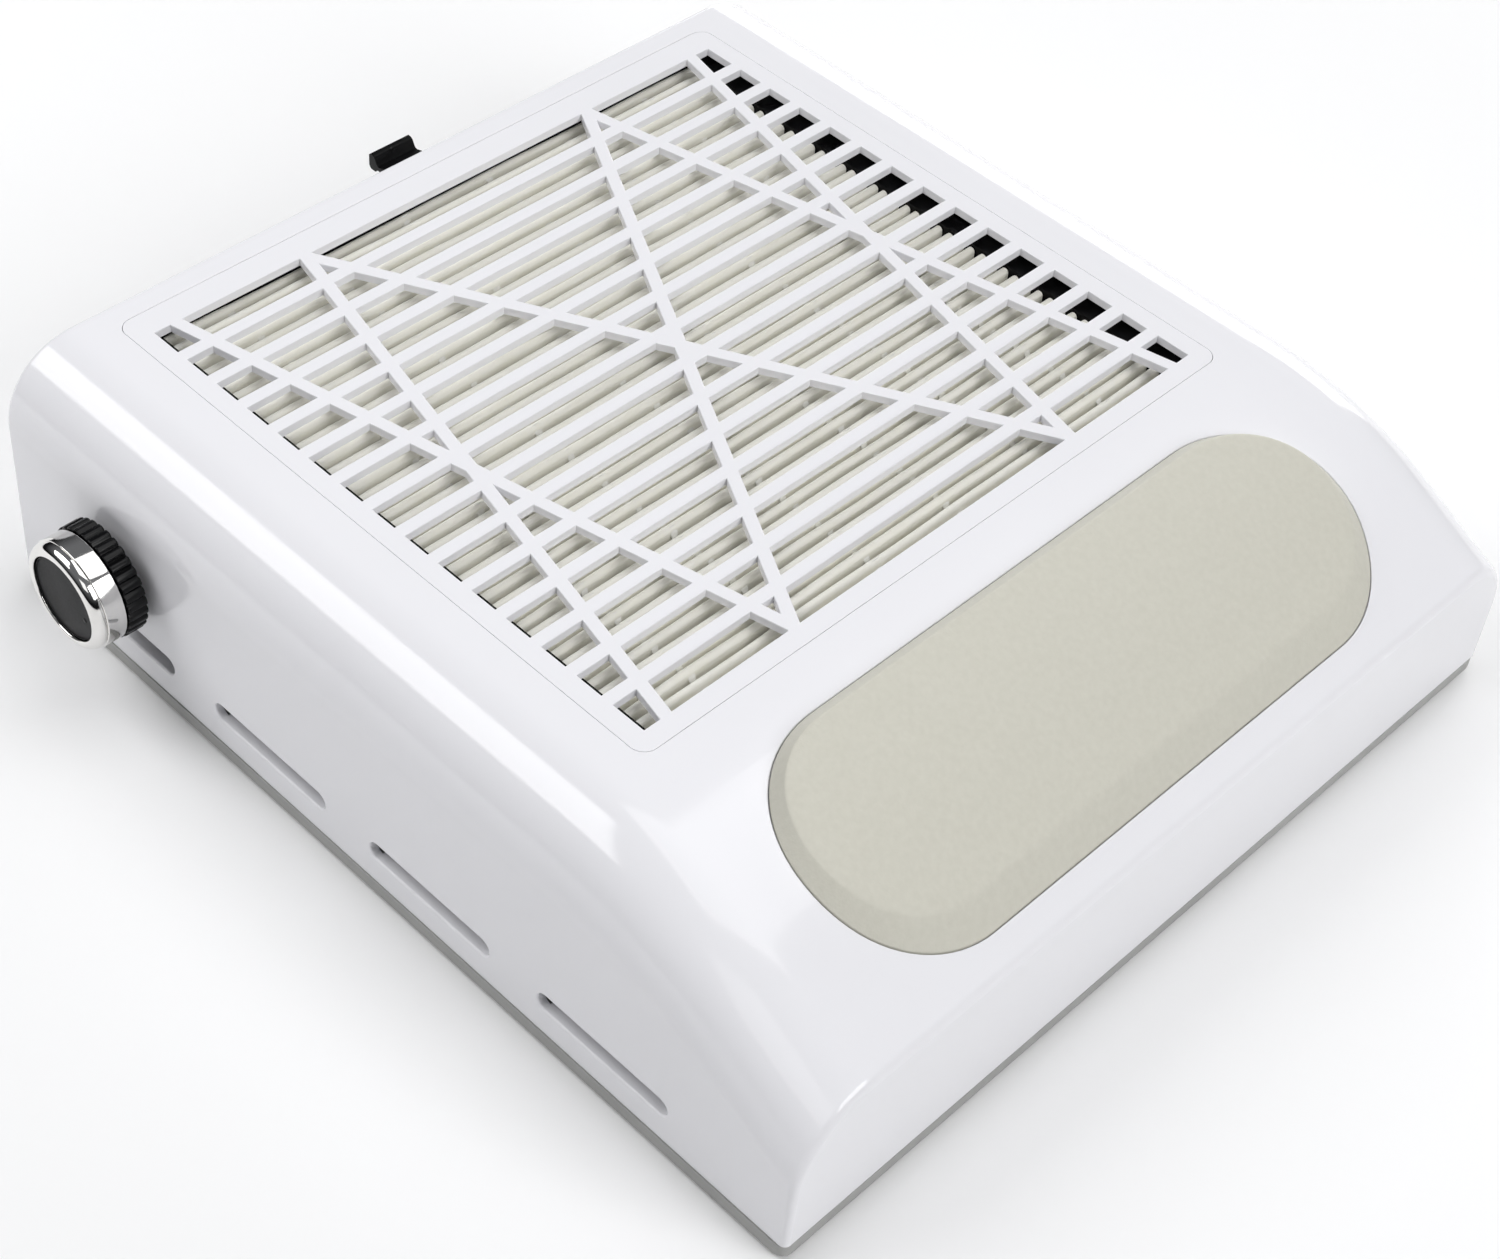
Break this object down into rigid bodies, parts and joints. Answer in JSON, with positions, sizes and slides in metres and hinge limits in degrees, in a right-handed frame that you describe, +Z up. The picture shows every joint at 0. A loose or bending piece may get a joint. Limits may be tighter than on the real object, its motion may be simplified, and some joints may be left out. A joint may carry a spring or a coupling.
{
  "type": "nail dust collector",
  "caption": "Desktop suction box for nail dust: slatted grille over a slide-out pleated filter, radial fan, side vents, speed knob and a soft sloping hand rest.",
  "frame": {"origin": "middle of the whole object's outline at table level, under the feet", "axes": "+X to the right as the user sits at the hand rest, +Y to the back, +Z up"},
  "size_m": [0.2794, 0.285, 0.0757],
  "materials": {
    "white_abs": "gloss white moulded ABS",
    "tray_abs": "satin light grey ABS",
    "base_grey": "fine textured mid grey ABS",
    "pad_greige": "matt greige soft elastomer",
    "frame_black": "satin black ABS",
    "component_black": "black moulded resin",
    "filter_paper": "ivory pleated filter paper",
    "wheel_black": "black glass-filled nylon",
    "knob_black": "satin black knurled plastic",
    "knob_chrome": "polished chrome plating",
    "cap_grey": "satin dark grey disc",
    "steel": "zinc-plated steel",
    "aluminium": "extruded aluminium",
    "board_green": "green solder mask on glass-epoxy board",
    "can_blue": "dark blue shrink sleeve on an aluminium can",
    "rubber": "matt black rubber",
    "nylon": "natural nylon",
    "cable_sheath": "black PVC cable sheath"
  },
  "bodies": {
    "collector_body": {"base_cover": "base_grey", "base_screw_1": "steel", "base_screw_2": "steel", "base_screw_3": "steel", "base_screw_4": "steel", "base_screw_5": "steel", "base_screw_6": "steel", "board_connector_1": "nylon", "board_connector_2": "nylon", "board_connector_3": "nylon", "board_screw_1": "steel", "board_screw_2": "steel", "board_screw_3": "steel", "board_screw_4": "steel", "bracket_screw_1": "steel", "bracket_screw_2": "steel", "bracket_screw_3": "steel", "bracket_screw_4": "steel", "capacitor_1": "can_blue", "capacitor_2": "can_blue", "control_board": "board_green", "control_chip": "component_black", "filter_tray": "tray_abs", "foot_1": "rubber", "foot_2": "rubber", "foot_3": "rubber", "foot_4": "rubber", "grille_panel": "white_abs", "hand_rest_pad": "pad_greige", "heat_sink": "aluminium", "jack_nut": "steel", "jack_socket": "component_black", "knob_cable": "cable_sheath", "motor_bracket": "steel", "motor_cable": "cable_sheath", "motor_case": "steel", "motor_screw_1": "steel", "motor_screw_2": "steel", "pot_case": "steel", "pot_nut": "steel", "power_cable": "cable_sheath", "power_transistor": "component_black", "top_housing": "white_abs", "tray_screw_1": "steel", "tray_screw_2": "steel", "tray_screw_3": "steel", "tray_screw_4": "steel"},
    "filter_cartridge": {"filter_frame": "frame_black", "filter_media": "filter_paper"},
    "speed_knob": {"knob_skirt": "knob_black", "knob_ring": "knob_chrome", "knob_cap": "cap_grey", "pot_shaft": "steel"},
    "fan": {"impeller": "wheel_black", "impeller_nut": "steel", "motor_shaft": "steel"}
  },
  "joints": [
    {"name": "filter_slide", "type": "slide", "parent": "collector_body", "child": "filter_cartridge", "axis": [0, 1, 0], "range_m": [0, 0.19]},
    {"name": "knob_turn", "type": "hinge", "parent": "collector_body", "child": "speed_knob", "pos_m": [-0.12535, 0.0863, 0.0378], "axis": [1, 0, 0], "range_deg": [-251, 49]},
    {"name": "fan_spin", "type": "hinge", "parent": "collector_body", "child": "fan", "pos_m": [0.00815, 0.029, 0.027], "axis": [0, 0, 1], "continuous": true}
  ]
}
